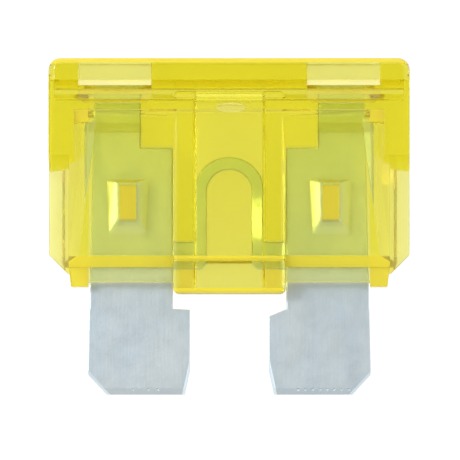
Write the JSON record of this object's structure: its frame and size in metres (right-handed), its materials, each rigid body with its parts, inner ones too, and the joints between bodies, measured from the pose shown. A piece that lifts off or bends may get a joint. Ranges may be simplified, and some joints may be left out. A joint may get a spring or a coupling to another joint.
{
  "type": "automotive blade fuse",
  "caption": "Flat two-blade car fuse: a clear yellow moulded housing with a wide gripping head, staked over one stamped metal strip with an arched link.",
  "frame": {"origin": "centre of the footprint of the whole fuse, on the surface that it lies on", "axes": "+X across the two blades, +Y from the blades' tips towards the head, +Z through the thickness, up from the surface"},
  "size_m": [0.019, 0.0178, 0.0051],
  "materials": {
    "yellow_plastic": "clear tinted polycarbonate, polished mould, glossy",
    "plated_zinc": "rolled and stamped zinc strip with thin tin plating, satin"
  },
  "bodies": {
    "root": {"housing": "yellow_plastic", "fuse_element": "plated_zinc"}
  },
  "joints": []
}
